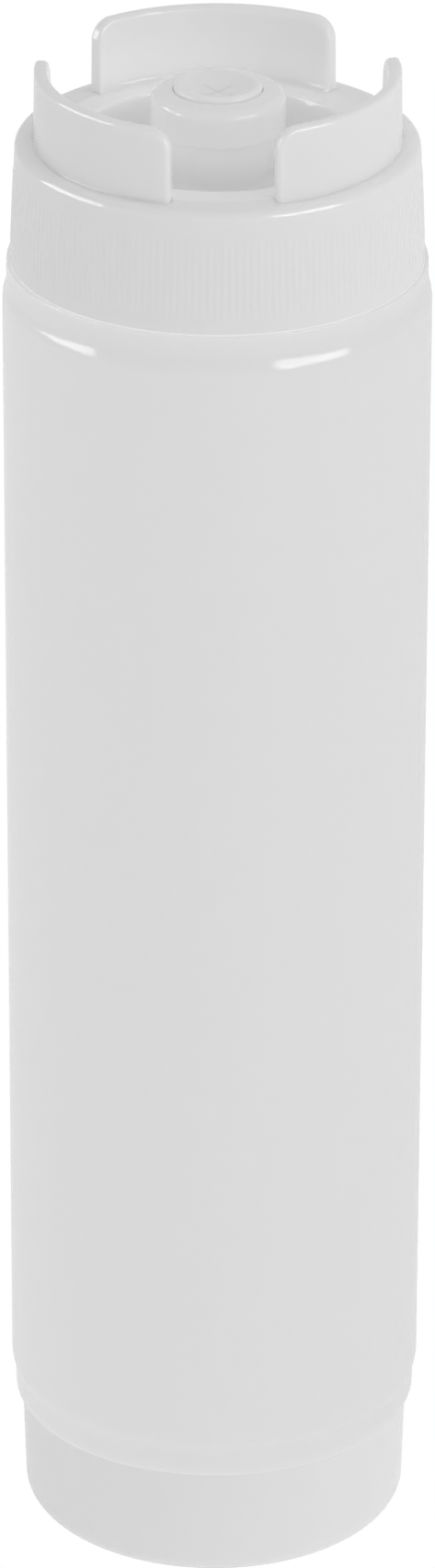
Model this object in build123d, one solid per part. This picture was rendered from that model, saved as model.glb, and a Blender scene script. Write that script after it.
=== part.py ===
from build123d import *
import os

# Two-ended squeeze sauce bottle that is stored and used nozzle down.
# Millimetres, +Z up. The origin is the centre of the face that the refill cap
# stands on. The bottle is the same at both ends: a wide neck, a bead round it, a
# short shoulder and the round body between them.

# ---- bottle body -------------------------------------------------------------
body_radius = 35.0          # outside of the round body
body_wall = 1.3             # blown wall of the body
bottle_height = 245.6       # from lip to lip
neck_inset = 5.0            # from the body's outside in to the root of the neck's thread
neck_wall = 1.6
neck_height = 17.9          # from the lip to the bead
lip_round = 0.4
bead_inset = 0.7            # from the body's outside in to the bead under each cap
bead_height = 4.2           # from the bead's face against the cap to the shoulder
bead_round = 0.2            # edge of that face
shoulder_inset = 0.6        # from the body's outside in to the foot of the shoulder
shoulder_drop = 1.9         # height of the shoulder's slope
shoulder_hollow = 6.0       # rounding from the bead into the shoulder
shoulder_round = 6.0        # rounding from the shoulder into the body
bore_round = 1.0            # inside corners where the bore widens into the body

# ---- both screw caps ---------------------------------------------------------
seal_thickness = 1.0        # flat ring between the lip and the cap
seal_overhang = 0.9         # how far the seal reaches inside the lip
seal_clearance = 0.15       # from the edge of the seal to the cap
seat_gap = 0.04             # from the rim of a cap to the bead
thread_depth = 1.2          # height of the neck's thread over its root
thread_clearance = 0.35     # from the crest of the neck's thread to the cap

# ---- refill cap --------------------------------------------------------------
refill_wall = 1.65          # skirt at its open end
refill_taper = 0.55         # how much narrower the base is than the open end
refill_floor = 1.5          # closed end
refill_base_round = 2.6     # rounding from the base into the skirt
refill_foot_width = 5.8     # ring that the cap stands on
refill_foot_height = 0.4    # how far the middle of the base is raised
gate_radius = 2.5           # small sunk disc in the middle of the base
gate_depth = 0.3
rim_round = 0.1             # open edge of both skirts

# ---- dispensing cap ----------------------------------------------------------
skirt_wall = 2.15           # skirt at its open end
skirt_taper = 0.9           # how much narrower the deck is than the open end
deck_thickness = 1.5
deck_edge_round = 1.2
well_shelf = 4.5            # deck between the standing walls and the round well
well_depth = 5.5
well_draft = 1.0            # how much smaller the well is at its floor
well_wall = 1.4
well_floor = 1.5
well_edge_round = 0.5
well_foot_round = 1.2
wall_count = 3              # standing walls round the deck
wall_turn = 91.9            # direction of the middle of the first wall, degrees
wall_span = 86.0            # degrees of the circle that each wall fills
wall_height = 12.3
wall_shelf = 3.0            # deck outside the standing walls
wall_thickness = 2.5
wall_draft = 0.2            # each face leans in by this much at the top
wall_corner_round = 3.6
wall_edge_round = 0.7
wall_inner_fillet = 1.2
wall_outer_fillet = 0.3
wall_root_margin = 0.3      # how far the buried root reaches past the foot fillets

# ---- nozzle: spout, slit valve and snap-on retainer --------------------------
spout_rise = 5.4            # top of the spout above the deck
spout_radius = 9.3
spout_wall = 2.5
spout_foot_round = 1.5
snap_height = 0.8           # snap bead round the spout
snap_depth = 0.35
snap_drop = 0.6             # from the top of the spout to the snap bead
retainer_wall = 1.5
retainer_skirt = 3.1        # how far it reaches down round the spout
retainer_clearance = 0.1    # round the spout and its snap bead
retainer_lip = 1.3          # thickness over the edge of the valve's flange
retainer_dome = 0.7         # rise of its top from the outer edge to the opening
retainer_edge_round = 1.5
retainer_rim_round = 0.3
flange_thickness = 1.4      # flange of the valve
flange_clearance = 0.15
valve_rise = 0.7            # lip of the valve above the retainer
valve_mouth_inset = 1.0     # from the spout's bore in to the valve's sleeve
valve_lip_width = 1.4       # wall of the valve's sleeve
valve_gap = 0.08            # from the lip to the opening of the retainer
valve_rim = 1.0             # from the outside of the lip in to the dish
valve_rim_round = 0.7       # outer edge of the lip
dish_edge_round = 0.3       # inner edge of the lip
valve_dish = 1.5            # how far the middle of the dish is sunk
valve_skin = 0.7            # thickness of the dish, which carries the slits
slit_count = 2              # slits that cross in the middle
slit_length = 6.4
slit_width = 0.06
slit_turn = 45.0            # direction of the first slit, degrees

# ---- heights and radii worked out from the sizes above ------------------------
lower_lip_z = refill_floor + seal_thickness
upper_lip_z = lower_lip_z + bottle_height
mid_z = (lower_lip_z + upper_lip_z) / 2
lower_bead_z = lower_lip_z + neck_height
upper_bead_z = upper_lip_z - neck_height
deck_under_z = upper_lip_z + seal_thickness
deck_z = deck_under_z + deck_thickness
well_floor_z = deck_z - well_depth
spout_top_z = deck_z + spout_rise
snap_top_z = spout_top_z - snap_drop
flange_top_z = spout_top_z + flange_thickness
retainer_edge_z = flange_top_z + retainer_lip
retainer_top_z = retainer_edge_z + retainer_dome
nozzle_top_z = retainer_top_z + valve_rise
neck_radius = body_radius - neck_inset
neck_bore_radius = neck_radius - neck_wall
bead_radius = body_radius - bead_inset
shoulder_radius = body_radius - shoulder_inset
cap_bore_radius = neck_radius + thread_depth + thread_clearance
refill_rim_radius = cap_bore_radius + refill_wall
refill_base_radius = refill_rim_radius - refill_taper
refill_foot_radius = refill_base_radius - refill_foot_width
skirt_rim_radius = cap_bore_radius + skirt_wall
skirt_deck_radius = skirt_rim_radius - skirt_taper
wall_outer_radius = skirt_deck_radius - wall_shelf
wall_inner_radius = wall_outer_radius - wall_thickness
well_radius = wall_inner_radius - well_shelf
spout_bore_radius = spout_radius - spout_wall
retainer_bore_radius = spout_radius + retainer_clearance
retainer_radius = retainer_bore_radius + retainer_wall
valve_mouth_radius = spout_bore_radius - valve_mouth_inset
valve_lip_radius = valve_mouth_radius + valve_lip_width
dish_radius = valve_lip_radius - valve_rim


def turned(points, rounds=()):
    """Solid turned about Z from (radius, height) points, with its named corners rounded."""
    profile = Face(Wire.make_polygon([Vector(radius, 0, height) for radius, height in points], close=True))
    for (radius, height), size in rounds:
        corner = profile.vertices().sort_by_distance(Vector(radius, 0, height))[0]
        profile = profile.fillet_2d(size, [corner])
    return revolve(profile, Axis.Z)


def other_end(points):
    """The same points at the other end of the bottle, in the opposite order."""
    return [(radius, 2 * mid_z - height) for radius, height in reversed(points)]


def make_bottle_body():
    shoulder_z = lower_bead_z + bead_height
    wall_z = shoulder_z + shoulder_drop
    widening_z = lower_bead_z + body_wall
    outside = [
        (neck_bore_radius, lower_lip_z),
        (neck_radius, lower_lip_z),
        (neck_radius, lower_bead_z),
        (bead_radius, lower_bead_z),
        (shoulder_radius, shoulder_z),
        (body_radius, wall_z),
    ]
    inside = [
        (body_radius - body_wall, wall_z),
        (shoulder_radius - body_wall, shoulder_z),
        (bead_radius - body_wall, widening_z),
        (neck_bore_radius, widening_z),
    ]
    rounds = [
        ((neck_radius, lower_lip_z), lip_round),
        ((neck_bore_radius, lower_lip_z), lip_round),
        ((bead_radius, lower_bead_z), bead_round),
        ((shoulder_radius, shoulder_z), shoulder_hollow),
        ((body_radius, wall_z), shoulder_round),
        ((body_radius - body_wall, wall_z), shoulder_round - body_wall),
        ((shoulder_radius - body_wall, shoulder_z), shoulder_hollow + body_wall),
        ((bead_radius - body_wall, widening_z), bore_round),
        ((neck_bore_radius, widening_z), bore_round),
    ]
    upper_rounds = [((radius, 2 * mid_z - height), size) for (radius, height), size in rounds]
    return turned(outside + other_end(outside) + other_end(inside) + inside, rounds + upper_rounds)


def make_refill_cap():
    rim_z = lower_bead_z - seat_gap
    gate_z = refill_foot_height + gate_depth
    points = [
        (0, gate_z),
        (gate_radius, gate_z),
        (gate_radius, refill_foot_height),
        (refill_foot_radius, refill_foot_height),
        (refill_foot_radius, 0),
        (refill_base_radius, 0),
        (refill_rim_radius, rim_z),
        (cap_bore_radius, rim_z),
        (cap_bore_radius, refill_floor),
        (0, refill_floor),
    ]
    rounds = [
        ((refill_base_radius, 0), refill_base_round),
        ((refill_foot_radius, 0), refill_foot_height / 2),
        ((refill_rim_radius, rim_z), rim_round),
    ]
    return turned(points, rounds)


def make_seal(seat_z):
    """Flat ring on a lip, from seat_z upwards."""
    inner_radius = neck_bore_radius - seal_overhang
    outer_radius = cap_bore_radius - seal_clearance
    points = [
        (inner_radius, seat_z),
        (outer_radius, seat_z),
        (outer_radius, seat_z + seal_thickness),
        (inner_radius, seat_z + seal_thickness),
    ]
    return turned(points)


def make_cap_shell():
    """Skirt, deck, well and spout of the dispensing cap, as one turned form."""
    rim_z = upper_bead_z + seat_gap
    well_foot_radius = well_radius - well_draft
    well_under_z = well_floor_z - well_floor
    snap_under_z = snap_top_z - snap_height
    snap_radius = spout_radius + snap_depth
    points = [
        (cap_bore_radius, rim_z),
        (skirt_rim_radius, rim_z),
        (skirt_deck_radius, deck_z),
        (well_radius, deck_z),
        (well_foot_radius, well_floor_z),
        (spout_radius, well_floor_z),
        (spout_radius, snap_under_z - snap_depth),
        (snap_radius, snap_under_z),
        (snap_radius, snap_top_z - snap_depth),
        (spout_radius, snap_top_z),
        (spout_radius, spout_top_z),
        (spout_bore_radius, spout_top_z),
        (spout_bore_radius, well_under_z),
        (well_foot_radius + well_wall, well_under_z),
        (well_radius + well_wall, deck_under_z),
        (cap_bore_radius, deck_under_z),
    ]
    rounds = [
        ((skirt_rim_radius, rim_z), rim_round),
        ((skirt_deck_radius, deck_z), deck_edge_round),
        ((well_radius, deck_z), well_edge_round),
        ((well_foot_radius, well_floor_z), well_foot_round),
        ((spout_radius, well_floor_z), spout_foot_round),
        ((well_foot_radius + well_wall, well_under_z), well_foot_round),
    ]
    return turned(points, rounds)


def make_standing_wall():
    """One curved wall, centred on +X, with round top corners and flared feet."""
    top_z = deck_z + wall_height
    root_z = deck_z - deck_thickness / 2
    root_inner_radius = wall_inner_radius - wall_inner_fillet - wall_root_margin
    root_outer_radius = wall_outer_radius + wall_outer_fillet + wall_root_margin
    points = [
        (root_inner_radius, root_z),
        (root_inner_radius, deck_z),
        (wall_inner_radius, deck_z),
        (wall_inner_radius + wall_draft, top_z),
        (wall_outer_radius - wall_draft, top_z),
        (wall_outer_radius, deck_z),
        (root_outer_radius, deck_z),
        (root_outer_radius, root_z),
    ]
    profile = Face(Wire.make_polygon([Vector(radius, 0, height) for radius, height in points], close=True))
    for radius, size in ((wall_inner_radius, wall_inner_fillet), (wall_outer_radius, wall_outer_fillet)):
        foot = profile.vertices().sort_by_distance(Vector(radius, 0, deck_z))[0]
        profile = profile.fillet_2d(size, [foot])
    wall = revolve(profile.rotate(Axis.Z, -wall_span / 2), Axis.Z, wall_span)
    corners = wall.edges().filter_by(GeomType.LINE).group_by(Axis.Z)[-1]
    wall = fillet(corners, wall_corner_round)
    top_thickness = wall_thickness - 2 * wall_draft
    return fillet(wall.edges().filter_by(stands_free), min(wall_edge_round, 0.4 * top_thickness))


def stands_free(edge):
    """Whether an edge of a standing wall outlines one of its two curved faces, above the feet."""
    along_corner = edge.geom_type == GeomType.LINE and abs(edge.tangent_at(0.5).Z) < 0.5
    return edge.center().Z > deck_z + wall_inner_fillet and not along_corner


def make_dispensing_cap():
    cap = make_cap_shell()
    standing_wall = make_standing_wall()
    for index in range(wall_count):
        cap += standing_wall.rotate(Axis.Z, wall_turn + index * 360 / wall_count)
    return cap


def make_retainer():
    """Domed ring that snaps over the spout and holds the flange of the valve down."""
    opening_radius = valve_lip_radius + valve_gap
    foot_z = spout_top_z - retainer_skirt
    groove_top_z = snap_top_z + retainer_clearance
    groove_under_z = snap_top_z - snap_height - retainer_clearance
    groove_radius = retainer_bore_radius + snap_depth
    points = [
        (retainer_bore_radius, foot_z),
        (retainer_radius, foot_z),
        (retainer_radius, retainer_edge_z),
        (opening_radius, retainer_top_z),
        (opening_radius, flange_top_z),
        (retainer_bore_radius, flange_top_z),
        (retainer_bore_radius, groove_top_z),
        (groove_radius, groove_top_z - snap_depth),
        (groove_radius, groove_under_z),
        (retainer_bore_radius, groove_under_z - snap_depth),
    ]
    rounds = [
        ((retainer_radius, retainer_edge_z), retainer_edge_round),
        ((opening_radius, retainer_top_z), retainer_rim_round),
        ((retainer_radius, foot_z), retainer_rim_round),
    ]
    return turned(points, rounds)


def make_valve():
    """Flange clamped on the spout, a sleeve, and a dished head with crossed slits in its lip."""
    sleeve_height = nozzle_top_z - spout_top_z
    flange_radius = retainer_bore_radius - flange_clearance
    points = [
        (0, spout_top_z),
        (0, nozzle_top_z),
        (valve_lip_radius, nozzle_top_z),
        (valve_lip_radius, flange_top_z),
        (flange_radius, flange_top_z),
        (flange_radius, spout_top_z),
    ]
    valve = turned(points, [((valve_lip_radius, nozzle_top_z), valve_rim_round)])
    dish_curve = (dish_radius**2 + valve_dish**2) / (2 * valve_dish)
    dish_centre = Pos(0, 0, nozzle_top_z - valve_dish + dish_curve)
    valve -= dish_centre * Sphere(dish_curve)
    sleeve_floor = Plane.XY.offset(spout_top_z)
    chamber = extrude(sleeve_floor * Circle(valve_mouth_radius), sleeve_height)
    valve -= chamber - dish_centre * Sphere(dish_curve + valve_skin)
    dish_edge = valve.edges().filter_by(GeomType.CIRCLE).group_by(Axis.Z)[-1].sort_by(SortBy.RADIUS)[0]
    valve = fillet(dish_edge, dish_edge_round)
    slit = extrude(sleeve_floor * Rectangle(slit_length, slit_width), sleeve_height)
    for index in range(slit_count):
        valve -= slit.rotate(Axis.Z, slit_turn + index * 180 / slit_count)
    return valve


parts = {
    "bottle_body": make_bottle_body(),
    "dispensing_cap": make_dispensing_cap(),
    "dispensing_valve": make_valve(),
    "valve_retainer": make_retainer(),
    "dispensing_cap_seal": make_seal(upper_lip_z),
    "refill_cap": make_refill_cap(),
    "refill_cap_seal": make_seal(refill_floor),
}

os.makedirs("parts", exist_ok=True)
for name, shape in parts.items():
    export_step(shape, f"parts/{name}.step")
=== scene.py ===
import math

import bmesh
import bpy
from mathutils import Matrix, Vector


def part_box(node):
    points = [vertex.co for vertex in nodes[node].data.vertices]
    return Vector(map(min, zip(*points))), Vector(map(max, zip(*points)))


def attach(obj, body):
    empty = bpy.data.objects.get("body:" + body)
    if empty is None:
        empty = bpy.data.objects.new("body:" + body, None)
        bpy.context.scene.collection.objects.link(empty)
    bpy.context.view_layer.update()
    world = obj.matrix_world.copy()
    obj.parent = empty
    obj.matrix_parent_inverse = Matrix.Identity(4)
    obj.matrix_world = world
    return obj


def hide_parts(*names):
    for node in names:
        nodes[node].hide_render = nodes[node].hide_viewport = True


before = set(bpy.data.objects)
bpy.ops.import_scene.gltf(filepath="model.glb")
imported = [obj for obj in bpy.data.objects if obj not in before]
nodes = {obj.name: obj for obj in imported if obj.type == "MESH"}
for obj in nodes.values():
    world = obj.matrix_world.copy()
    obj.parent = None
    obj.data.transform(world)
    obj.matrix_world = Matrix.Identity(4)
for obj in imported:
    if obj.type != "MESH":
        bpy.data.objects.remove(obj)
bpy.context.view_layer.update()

mm = 0.001


# small helpers: nodes and node groups

def addNode(tree, kind, place=(0, 0), **settings):
    node = tree.nodes.new(kind)
    node.location = place
    for name, value in settings.items():
        setattr(node, name, value)
    return node


def addMath(tree, operation, first, second, place=(0, 0)):
    node = addNode(tree, "ShaderNodeMath", place, operation=operation)
    for socket, value in zip(node.inputs, (first, second)):
        if isinstance(value, (int, float)):
            socket.default_value = value
        else:
            tree.links.new(value, socket)
    return node.outputs[0]


def startGroup(name, inputs, outputs):
    group = bpy.data.node_groups.new(name, "ShaderNodeTree")
    for socketName, kind, value in inputs:
        socket = group.interface.new_socket(name=socketName, in_out="INPUT", socket_type=kind)
        socket.default_value = value
    for socketName, kind in outputs:
        group.interface.new_socket(name=socketName, in_out="OUTPUT", socket_type=kind)
    entry = addNode(group, "NodeGroupInput", (-1200, 0))
    leave = addNode(group, "NodeGroupOutput", (900, 0))
    return group, entry.outputs, leave.inputs


def noiseOn(tree, coords, scale, detail, place, roughness=0.5):
    noise = addNode(tree, "ShaderNodeTexNoise", place)
    tree.links.new(coords, noise.inputs["Vector"])
    if isinstance(scale, (int, float)):
        noise.inputs["Scale"].default_value = scale
    else:
        tree.links.new(scale, noise.inputs["Scale"])
    noise.inputs["Detail"].default_value = detail
    noise.inputs["Roughness"].default_value = roughness
    return noise.outputs["Fac"]


# the finish that every moulded piece shares: cloudy colour, fine grain, faint scuffs

def buildMouldedFinish():
    floatKind = "NodeSocketFloat"
    group, given, result = startGroup(
        "mouldedFinish",
        [
            ("Plastic", "NodeSocketColor", (0.7, 0.7, 0.7, 1)),
            ("Cloud", "NodeSocketColor", (0.6, 0.6, 0.62, 1)),
            ("Cloud Size", floatKind, 40.0),
            ("Cloud Share", floatKind, 0.3),
            ("Grain Size", floatKind, 1500.0),
            ("Grain Height", floatKind, 0.2),
            ("Wave Size", floatKind, 25.0),
            ("Wave Height", floatKind, 1.0),
            ("Gloss", floatKind, 0.35),
            ("Scuff", floatKind, 0.1),
        ],
        [("Color", "NodeSocketColor"), ("Roughness", floatKind), ("Height", floatKind)],
    )
    coords = addNode(group, "ShaderNodeTexCoord", (-1200, -500)).outputs["Object"]
    cloud = noiseOn(group, coords, given["Cloud Size"], 4, (-900, 300), 0.6)
    spread = addNode(group, "ShaderNodeMapRange", (-650, 300))
    spread.inputs["From Min"].default_value = 0.35
    spread.inputs["From Max"].default_value = 0.68
    group.links.new(cloud, spread.inputs["Value"])
    share = addMath(group, "MULTIPLY", spread.outputs["Result"], given["Cloud Share"], (-400, 300))
    tone = addNode(group, "ShaderNodeMix", (-100, 300), data_type="RGBA")
    group.links.new(share, tone.inputs[0])
    group.links.new(given["Plastic"], tone.inputs[6])
    group.links.new(given["Cloud"], tone.inputs[7])
    group.links.new(tone.outputs[2], result["Color"])

    grain = noiseOn(group, coords, given["Grain Size"], 2, (-900, 0))
    wave = noiseOn(group, coords, given["Wave Size"], 1, (-900, -200))
    grainPart = addMath(group, "MULTIPLY", grain, given["Grain Height"], (-400, 0))
    wavePart = addMath(group, "MULTIPLY", wave, given["Wave Height"], (-400, -200))
    group.links.new(addMath(group, "ADD", grainPart, wavePart, (-100, -100)), result["Height"])

    stretch = addNode(group, "ShaderNodeMapping", (-1000, -700))  # scuffs run a little round the piece
    stretch.inputs["Scale"].default_value = (60, 60, 420)
    group.links.new(coords, stretch.inputs["Vector"])
    scratch = noiseOn(group, stretch.outputs["Vector"], 1.0, 3, (-750, -700), 0.7)
    mark = addNode(group, "ShaderNodeMapRange", (-500, -700))
    mark.inputs["From Min"].default_value = 0.52
    mark.inputs["From Max"].default_value = 0.75
    group.links.new(scratch, mark.inputs["Value"])
    marked = addMath(group, "MULTIPLY", mark.outputs["Result"], given["Scuff"], (-250, -700))
    group.links.new(addMath(group, "ADD", marked, given["Gloss"], (100, -700)), result["Roughness"])
    return group


# painted glow that stands in for light come through the thin walls: emission on the faces that they
# shelter, stronger to one side by Lean
def buildPaintedShelterGlow():
    floatKind = "NodeSocketFloat"
    group, given, result = startGroup(
        "paintedShelterGlow",
        [
            ("Core", floatKind, -1.0), ("Radius", floatKind, 0.036), ("Edge", floatKind, 0.0003),
            ("Floor", floatKind, -0.1), ("Rise", floatKind, 0.0003),
            ("Top", floatKind, 0.4), ("Fall", floatKind, 0.0003),
            ("Share", floatKind, 0.05), ("Lean", floatKind, 0.0), ("Under", floatKind, 0.0),
        ],
        [("Light", "NodeSocketFloat")],
    )
    coords = addNode(group, "ShaderNodeTexCoord", (-1200, -400)).outputs["Object"]
    place = addNode(group, "ShaderNodeSeparateXYZ", (-1000, -400))
    group.links.new(coords, place.inputs["Vector"])
    across = addNode(group, "ShaderNodeCombineXYZ", (-800, -300))
    group.links.new(place.outputs["X"], across.inputs["X"])
    group.links.new(place.outputs["Y"], across.inputs["Y"])
    radius = addNode(group, "ShaderNodeVectorMath", (-600, -300), operation="LENGTH")
    group.links.new(across.outputs["Vector"], radius.inputs[0])

    def shareInside(low, high, fade, height):
        depth = addMath(group, "SUBTRACT", high, low, (-400, height))
        part = addMath(group, "DIVIDE", depth, given[fade], (-200, height))
        part.node.use_clamp = True
        return part

    inRim = shareInside(radius.outputs["Value"], given["Radius"], "Edge", 0)
    pastCore = shareInside(given["Core"], radius.outputs["Value"], "Edge", 200)
    inRing = addMath(group, "MULTIPLY", inRim, pastCore, (0, 100))
    underTop = shareInside(place.outputs["Z"], given["Top"], "Fall", -200)
    overFloor = shareInside(given["Floor"], place.outputs["Z"], "Rise", -400)
    inHeight = addMath(group, "MULTIPLY", underTop, overFloor, (0, -300))
    sheltered = addMath(group, "MULTIPLY", inRing, inHeight, (200, -100))
    # painted brighter towards one side along x, as if lit from there
    sideways = addMath(group, "DIVIDE", place.outputs["X"], given["Radius"], (-200, -600))
    leaning = addMath(group, "MULTIPLY", sideways, given["Lean"], (0, -600))
    uneven = addMath(group, "ADD", leaning, 1.0, (200, -600))
    part = addMath(group, "MULTIPLY", sheltered, uneven, (400, -200))
    paintedGlow = addMath(group, "MULTIPLY", part, given["Share"], (550, -100))
    group.links.new(addMath(group, "ADD", paintedGlow, given["Under"], (700, 0)), result["Light"])
    return group


mouldedFinish = buildMouldedFinish()
paintedShelterGlow = buildPaintedShelterGlow()


def makePlastic(name, look):
    material = bpy.data.materials.new(name)
    material.use_nodes = True
    tree = material.node_tree
    tree.nodes.clear()
    finish = addNode(tree, "ShaderNodeGroup", (-500, 0), node_tree=mouldedFinish)
    for socketName, value in look["finish"].items():
        finish.inputs[socketName].default_value = value
    shader = addNode(tree, "ShaderNodeBsdfPrincipled", (0, 0))
    for socketName, value in look["shader"].items():
        shader.inputs[socketName].default_value = value
    # painted glow: the look's entries add emission that lightens shade and stands in for light through
    # the plastic
    paintedGlow = None
    for order, spot in enumerate(look["lights"]):
        glow = addNode(tree, "ShaderNodeGroup", (-900 + 250 * order, -600), node_tree=paintedShelterGlow)
        for socketName, value in spot.items():
            glow.inputs[socketName].default_value = value
        if paintedGlow:
            tree.links.new(paintedGlow, glow.inputs["Under"])
        paintedGlow = glow.outputs["Light"]
    tree.links.new(paintedGlow, shader.inputs["Emission Color"])
    shader.inputs["Emission Strength"].default_value = 1.0
    bump = addNode(tree, "ShaderNodeBump", (-250, -300))
    bump.inputs["Strength"].default_value = look["bump"]
    bump.inputs["Distance"].default_value = look["relief"]
    tree.links.new(finish.outputs["Height"], bump.inputs["Height"])
    tree.links.new(finish.outputs["Color"], shader.inputs["Base Color"])
    tree.links.new(finish.outputs["Roughness"], shader.inputs["Roughness"])
    tree.links.new(bump.outputs["Normal"], shader.inputs["Normal"])
    output = addNode(tree, "ShaderNodeOutputMaterial", (300, 0))
    tree.links.new(shader.outputs["BSDF"], output.inputs["Surface"])
    return material


bodyLook = {
    "finish": {
        "Plastic": (0.985, 0.986, 0.987, 1), "Cloud": (0.975, 0.977, 0.979, 1),
        "Cloud Size": 30.0, "Cloud Share": 0.35, "Grain Size": 2200.0, "Grain Height": 0.12,
        "Wave Size": 18.0, "Wave Height": 1.0, "Gloss": 0.12, "Scuff": 0.03,
    },
    "shader": {
        "IOR": 1.5, "Subsurface Weight": 1.0, "Subsurface Scale": 0.001,
        "Subsurface Radius": (1.0, 1.0, 1.0),
    },
    "lights": [
        # painted glow over the whole bottle, brighter towards -x as if lit from that side
        {"Share": 0.025, "Lean": -1.0},
        # painted glow lightening the shaded seam on the narrow band that the rim of the dispensing cap
        # stands over
        {
            "Core": 0.0333, "Radius": 0.03373, "Edge": 0.00008,
            "Floor": 0.2297, "Top": 0.2305, "Share": 0.13,
        },
    ],
    "bump": 0.2, "relief": 0.0005,
}
capLook = {
    "finish": {
        "Plastic": (0.98, 0.981, 0.983, 1), "Cloud": (0.97, 0.972, 0.975, 1),
        "Cloud Size": 55.0, "Cloud Share": 0.3, "Grain Size": 2600.0, "Grain Height": 0.1,
        "Wave Size": 40.0, "Wave Height": 0.5, "Gloss": 0.1, "Scuff": 0.03,
    },
    "shader": {
        "IOR": 1.5, "Subsurface Weight": 1.0, "Subsurface Scale": 0.0008,
        "Subsurface Radius": (1.0, 1.0, 1.0),
    },
    "lights": [
        # painted glow over the whole cap, brighter towards +x as if lit from that side
        {"Share": 0.015, "Lean": 1.0},
        # painted glow lightening the shade inside the standing walls, then the shaded crease at the open
        # edge of the skirt
        {"Radius": 0.0276, "Floor": 0.248, "Rise": 0.006, "Share": 0.09, "Lean": -0.6},
        {"Floor": 0.229, "Top": 0.23037, "Fall": 0.00012, "Share": 0.15},
    ],
    "bump": 0.2, "relief": 0.0003,
}
siliconeLook = {
    "finish": {
        "Plastic": (0.98, 0.98, 0.98, 1), "Cloud": (0.97, 0.972, 0.974, 1),
        "Cloud Size": 120.0, "Cloud Share": 0.3, "Grain Size": 3500.0, "Grain Height": 0.15,
        "Wave Size": 90.0, "Wave Height": 0.3, "Gloss": 0.2, "Scuff": 0.03,
    },
    "shader": {
        "IOR": 1.42, "Subsurface Weight": 1.0, "Subsurface Scale": 0.0006,
        "Subsurface Radius": (1.0, 1.0, 1.0),
    },
    # painted glow over the whole valve and seals, lightening their shade
    "lights": [{"Share": 0.03}],
    "bump": 0.2, "relief": 0.0003,
}
bodyPlastic = makePlastic("milkyBodyPlastic", bodyLook)
capPlastic = makePlastic("milkyCapPlastic", capLook)
# the retainer: painted glow over the whole piece, lightening its shade in the well
nozzlePlastic = makePlastic("milkyNozzlePlastic", {**capLook, "lights": [{"Share": 0.035}]})
valveSilicone = makePlastic("clearValveSilicone", siliconeLook)
sealSilicone = makePlastic("sealSilicone", siliconeLook)
print("materials made")


def dress(nodeName, material):
    mesh = nodes[nodeName].data
    mesh.materials.clear()
    mesh.materials.append(material)


for nodeName, material in (
    ("bottle_body", bodyPlastic), ("dispensing_cap", capPlastic), ("valve_retainer", nozzlePlastic),
    ("dispensing_valve", valveSilicone), ("refill_cap", capPlastic),
    ("dispensing_cap_seal", sealSilicone), ("refill_cap_seal", sealSilicone),
):
    dress(nodeName, material)
print("packed pieces dressed")


def tidyShape(shape):
    bmesh.ops.remove_doubles(shape, verts=shape.verts, dist=1e-6)
    bmesh.ops.recalc_face_normals(shape, faces=shape.faces)
    return shape


def looseObject(name, shape):
    mesh = bpy.data.meshes.new(name)
    tidyShape(shape).to_mesh(mesh)
    shape.free()
    holder = bpy.data.objects.new(name, mesh)
    bpy.context.scene.collection.objects.link(holder)
    return holder


def evaluatedMesh(holder):
    view = bpy.context.evaluated_depsgraph_get()
    return bpy.data.meshes.new_from_object(holder.evaluated_get(view))


sameSpot = 0.0001 * mm  # corners nearer than this are one corner

shading = {
    "sharpAngle": 32,  # degrees between two faces, from which their edge is sharp
    "roundWithin": 4,  # degrees off the axis, up to which a face counts as turned
}


# faces turned about the axis take the level part of their normals from the axis
def roundNormals(mesh):
    normals = [corner.vector.copy() for corner in mesh.corner_normals]
    closeEnough = math.cos(math.radians(shading["roundWithin"]))
    for face in mesh.polygons:
        facing = Vector((face.normal.x, face.normal.y, 0))
        outward = Vector((face.center.x, face.center.y, 0))
        if facing.length < 0.05 or outward.length < mm:
            continue
        if abs(facing.normalized().dot(outward.normalized())) < closeEnough:
            continue
        side = 1 if facing.dot(outward) > 0 else -1
        for index in face.loop_indices:
            spot = mesh.vertices[mesh.loops[index].vertex_index].co
            level = side * math.sqrt(max(0.0, 1 - normals[index].z ** 2))
            away = Vector((spot.x, spot.y, 0)).normalized()
            normals[index] = Vector((away.x * level, away.y * level, normals[index].z))
    mesh.normals_split_custom_set(normals)


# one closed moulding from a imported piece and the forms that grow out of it
def mouldTogether(name, nodeName, additions, body, material, turned=False):
    packed = bmesh.new()
    packed.from_mesh(nodes[nodeName].data)
    holder = looseObject(name + "Blank", packed)
    tools = [looseObject(name + "Addition", shape) for shape in additions]
    for tool in tools:
        join = holder.modifiers.new("join", "BOOLEAN")
        join.operation = "UNION"
        join.solver = "EXACT"
        join.object = tool
    joined = evaluatedMesh(holder)
    merged = bmesh.new()  # corners that the union left on one spot become one
    merged.from_mesh(joined)
    bmesh.ops.remove_doubles(merged, verts=merged.verts, dist=sameSpot)
    merged.to_mesh(joined)
    merged.free()
    for face in joined.polygons:
        face.use_smooth = True
    joined.set_sharp_from_angle(angle=math.radians(shading["sharpAngle"]))
    shaded = bpy.data.objects.new(name + "Shaded", joined)
    bpy.context.scene.collection.objects.link(shaded)
    weigh = shaded.modifiers.new("weigh", "WEIGHTED_NORMAL")  # long faces keep their own direction
    weigh.mode = "FACE_AREA"
    weigh.weight = 100
    weigh.keep_sharp = True
    mesh = evaluatedMesh(shaded)
    if turned:
        roundNormals(mesh)
    for spare in [holder, shaded] + tools:
        oldMesh = spare.data
        bpy.data.objects.remove(spare)
        bpy.data.meshes.remove(oldMesh)
    mesh.name = name
    mesh.materials.clear()
    mesh.materials.append(material)
    piece = bpy.data.objects.new(name, mesh)
    bpy.context.scene.collection.objects.link(piece)
    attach(piece, body)
    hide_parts(nodeName)
    return piece


# ribbed band of the dispensing cap

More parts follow.
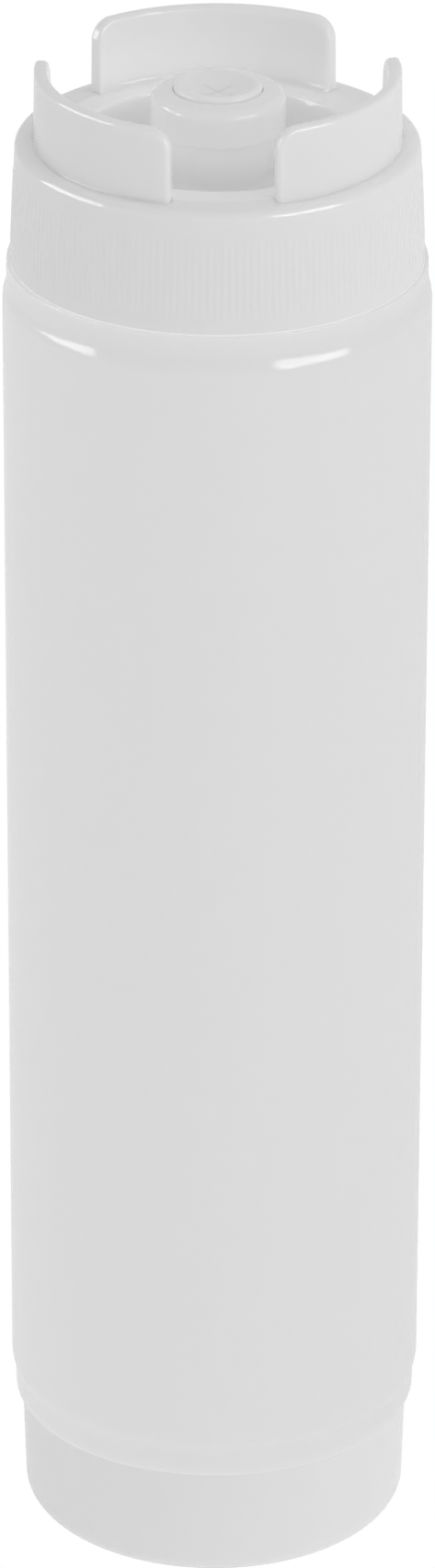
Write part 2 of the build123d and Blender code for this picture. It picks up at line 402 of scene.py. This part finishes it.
ribBand = {
    "ribs": 180,
    "rimRadius": 33.7 * mm, "deckRadius": 32.8 * mm,  # the skirt under the band
    "skirtHeight": 20.0 * mm,
    "bottom": 1.0 * mm, "top": 17.2 * mm,  # above the rim of the cap
    "crest": 0.1 * mm, "valley": 0.01 * mm,
    "runOut": 2.5 * mm,  # length over which a rib rises from the skirt
    "sink": 0.35 * mm,  # inner wall of the band, inside the skirt
    "endSink": 0.08 * mm,  # both ends of a rib, under the skirt's face
    "pointsPerRib": 6,
}


def makeSkirtRibs():
    plan = ribBand
    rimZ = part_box("dispensing_cap")[0].z
    slope = (plan["deckRadius"] - plan["rimRadius"]) / plan["skirtHeight"]
    pointCount = plan["ribs"] * plan["pointsPerRib"]
    levels = [(plan["bottom"], 0.0), (plan["bottom"] + 0.5 * plan["runOut"], 0.6)]
    levels += [(plan["bottom"] + plan["runOut"], 1.0), (plan["top"] - plan["runOut"], 1.0)]
    levels += [(plan["top"] - 0.5 * plan["runOut"], 0.6), (plan["top"], 0.0)]
    shape = bmesh.new()
    bmesh.ops.create_circle(shape, segments=pointCount, radius=1.0, cap_ends=False)
    ring = list(shape.edges)

    def setRing(edges, height, rise):
        skirtRadius = plan["rimRadius"] + slope * height
        for vert in {v for edge in edges for v in edge.verts}:
            angle = math.atan2(vert.co.y, vert.co.x)
            wave = 0.5 + 0.5 * math.cos(angle * plan["ribs"])
            proud = plan["valley"] + (plan["crest"] - plan["valley"]) * wave
            radius = skirtRadius + proud * rise - plan["endSink"] * (1 - rise)
            if rise < 0:
                radius = skirtRadius - plan["sink"]
            vert.co = Vector((radius * math.cos(angle), radius * math.sin(angle), rimZ + height))

    def extrudeRing(edges):
        made = bmesh.ops.extrude_edge_only(shape, edges=edges)["geom"]
        return [item for item in made if isinstance(item, bmesh.types.BMEdge)]

    first = ring
    setRing(ring, *levels[0])
    for height, rise in levels[1:]:
        ring = extrudeRing(ring)
        setRing(ring, height, rise)
    ring = extrudeRing(ring)
    setRing(ring, plan["top"], -1)
    ring = extrudeRing(ring)
    setRing(ring, plan["bottom"], -1)
    bmesh.ops.bridge_loops(shape, edges=ring + first)
    return shape


# screw threads of both necks and both caps, all on right-hand helices of one pitch

thread = {
    "pitch": 4.2333 * mm,
    "neckRoot": 29.85 * mm, "neckCrest": 31.2 * mm,
    "neckRootWidth": 2.2 * mm, "neckCrestWidth": 0.9 * mm,
    "capRoot": 31.7 * mm, "capCrest": 30.35 * mm,
    "capRootWidth": 1.8 * mm, "capCrestWidth": 0.8 * mm,
    "neckTurns": 2.0, "capTurns": 1.25,
    "stepsPerTurn": 96, "runOutSteps": 10,
    "cornerRound": 0.18 * mm, "endHeight": 0.03,  # share of its height that is left at its ends
    "lipInset": 2.4 * mm,  # from a lip to the middle of the first turn
}


def makeThread(startZ, turns, root, crest, rootWidth, crestWidth):
    steps = round(turns * thread["stepsPerTurn"])
    shape = bmesh.new()
    corners = [
        shape.verts.new((root, 0, startZ - rootWidth / 2)),
        shape.verts.new((crest, 0, startZ - crestWidth / 2)),
        shape.verts.new((crest, 0, startZ + crestWidth / 2)),
        shape.verts.new((root, 0, startZ + rootWidth / 2)),
    ]
    section = shape.faces.new(corners)
    bmesh.ops.spin(
        shape, geom=[section] + list(section.edges) + corners, cent=(0, 0, 0), axis=(0, 0, 1),
        dvec=(0, 0, thread["pitch"] / thread["stepsPerTurn"]), angle=2 * math.pi * turns,
        steps=steps, use_merge=False, use_duplicate=False,
    )
    bmesh.ops.bevel(
        shape, geom=[e for e in shape.edges if len(e.link_faces) == 2 and e.calc_face_angle() > 0.5],
        offset=thread["cornerRound"], segments=2, profile=0.5, affect="EDGES", material=-1,
        clamp_overlap=True,
    )
    # the thread sinks into the wall over the last few steps at both ends
    rise = thread["pitch"] / (2 * math.pi)
    for vert in shape.verts:
        radius = math.hypot(vert.co.x, vert.co.y)
        angle = math.atan2(vert.co.y, vert.co.x)
        turn = round(((vert.co.z - startZ) / rise - angle) / (2 * math.pi))
        along = (angle / (2 * math.pi) + turn) * thread["stepsPerTurn"]
        near = max(0.0, min(1.0, min(along, steps - along) / thread["runOutSteps"]))
        height = thread["endHeight"] + (1 - thread["endHeight"]) * math.sin(near * math.pi / 2)
        wanted = root + (radius - root) * height
        vert.co.x *= wanted / radius
        vert.co.y *= wanted / radius
    return shape


pitch = thread["pitch"]
neckWidths = (thread["neckRoot"], thread["neckCrest"], thread["neckRootWidth"], thread["neckCrestWidth"])
capWidths = (thread["capRoot"], thread["capCrest"], thread["capRootWidth"], thread["capCrestWidth"])
bottleLow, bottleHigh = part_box("bottle_body")
upperStart = bottleHigh.z - thread["lipInset"] - pitch * thread["neckTurns"]
lowerStart = bottleLow.z + thread["lipInset"]
mouldTogether(
    "threadedBottle", "bottle_body",
    [makeThread(start, thread["neckTurns"], *neckWidths) for start in (upperStart, lowerStart)],
    "bottle", bodyPlastic, turned=True,
)
print("bottle and its threads made")
mouldTogether(
    "ribbedDispensingCap", "dispensing_cap",
    [makeSkirtRibs(), makeThread(upperStart - pitch * 0.5, thread["capTurns"], *capWidths)],
    "dispensing_head", capPlastic,
)
print("ribbed dispensing cap made")
mouldTogether(
    "threadedRefillCap", "refill_cap",
    [makeThread(lowerStart + pitch * 1.5, thread["capTurns"], *capWidths)],
    "refill_end", capPlastic, turned=True,
)
print("refill cap made")


# floor, light and camera

floorPlan = {"radius": 14.0, "drop": 0.0002, "shown": 1.0, "glow": 0.32, "tone": (0.65, 0.65, 0.65, 1)}


def makeFloor():
    shape = bmesh.new()
    bmesh.ops.create_circle(shape, segments=96, radius=floorPlan["radius"], cap_ends=True)
    bmesh.ops.translate(shape, verts=shape.verts, vec=(0, 0, -floorPlan["drop"]))
    mesh = bpy.data.meshes.new("floor")
    shape.to_mesh(mesh)
    shape.free()
    floor = bpy.data.objects.new("floor", mesh)
    bpy.context.scene.collection.objects.link(floor)
    material = bpy.data.materials.new("paleFloor")
    material.use_nodes = True
    tree = material.node_tree
    shader = tree.nodes["Principled BSDF"]
    shader.inputs["Base Color"].default_value = floorPlan["tone"]
    shader.inputs["Roughness"].default_value = 0.9
    shader.inputs["Emission Color"].default_value = (1, 1, 1, 1)
    shader.inputs["Emission Strength"].default_value = floorPlan["glow"]
    # the sweep is seen as plain white, and lights the bottle as pale grey paper would
    white = addNode(tree, "ShaderNodeEmission", (0, -700))
    white.inputs["Strength"].default_value = floorPlan["shown"]
    path = addNode(tree, "ShaderNodeLightPath", (0, 400))
    mix = addNode(tree, "ShaderNodeMixShader", (350, 0))
    tree.links.new(path.outputs["Is Camera Ray"], mix.inputs[0])
    tree.links.new(shader.outputs["BSDF"], mix.inputs[1])
    tree.links.new(white.outputs["Emission"], mix.inputs[2])
    tree.links.new(mix.outputs["Shader"], tree.nodes["Material Output"].inputs["Surface"])
    mesh.materials.append(material)


studio = {
    "sky": 0.63,
    # name, azimuth in degrees, distance, width, bottom and top edge, watts, seen by
    "lamps": [
        ("leftSoftbox", 182, 0.75, 0.62, 0.18, 0.66, 4.6, "gloss"),
        ("rightSoftbox", 320, 0.75, 0.55, 0.21, 0.66, 3.95, "gloss"),
        ("rightFill", 330, 1.3, 1.0, 0.4, 1.6, 2.5, "matt"),
    ],
}


def makeStudio():
    world = bpy.data.worlds.new("studio")
    world.use_nodes = True
    world.node_tree.nodes["Background"].inputs["Color"].default_value = (1, 1, 1, 1)
    world.node_tree.nodes["Background"].inputs["Strength"].default_value = studio["sky"]
    bpy.context.scene.world = world
    for name, azimuth, distance, width, bottom, top, watts, seenBy in studio["lamps"]:
        angle = math.radians(azimuth)
        side = Vector((math.cos(angle), math.sin(angle), 0))
        lamp = bpy.data.lights.new(name, "AREA")
        lamp.shape = "RECTANGLE"
        lamp.size = width
        lamp.size_y = top - bottom
        lamp.energy = watts
        holder = bpy.data.objects.new(name, lamp)
        holder.location = side * distance + Vector((0, 0, (bottom + top) / 2))
        holder.rotation_euler = side.to_track_quat("Z", "Y").to_euler()  # each softbox stands upright
        holder.visible_camera = False
        holder.visible_diffuse = seenBy == "matt"
        holder.visible_glossy = seenBy == "gloss"
        bpy.context.scene.collection.objects.link(holder)


cameraPlan = {
    "lens": 187.45, "elevation": 26.0, "distance": 1.369, "target": (0, 0, 0.1346),
    "roll": 0.17, "shift": 0.001,
}


def makeCamera():
    plan = cameraPlan
    elevation = math.radians(plan["elevation"])
    back = Vector((0, -math.cos(elevation), math.sin(elevation)))
    data = bpy.data.cameras.new("camera")
    data.lens = plan["lens"]
    data.sensor_width = 36
    data.shift_x = plan["shift"]
    data.clip_start, data.clip_end = 0.05, 60
    camera = bpy.data.objects.new("camera", data)
    place = Matrix.Translation(Vector(plan["target"]) + back * plan["distance"])
    tilt = Matrix.Rotation(math.pi / 2 - elevation, 4, "X")
    camera.matrix_world = place @ tilt @ Matrix.Rotation(math.radians(plan["roll"]), 4, "Z")
    bpy.context.scene.collection.objects.link(camera)
    bpy.context.scene.camera = camera


makeFloor()
makeStudio()
makeCamera()
bpy.context.scene.view_settings.view_transform = "Standard"
print("floor, lamps and camera set")
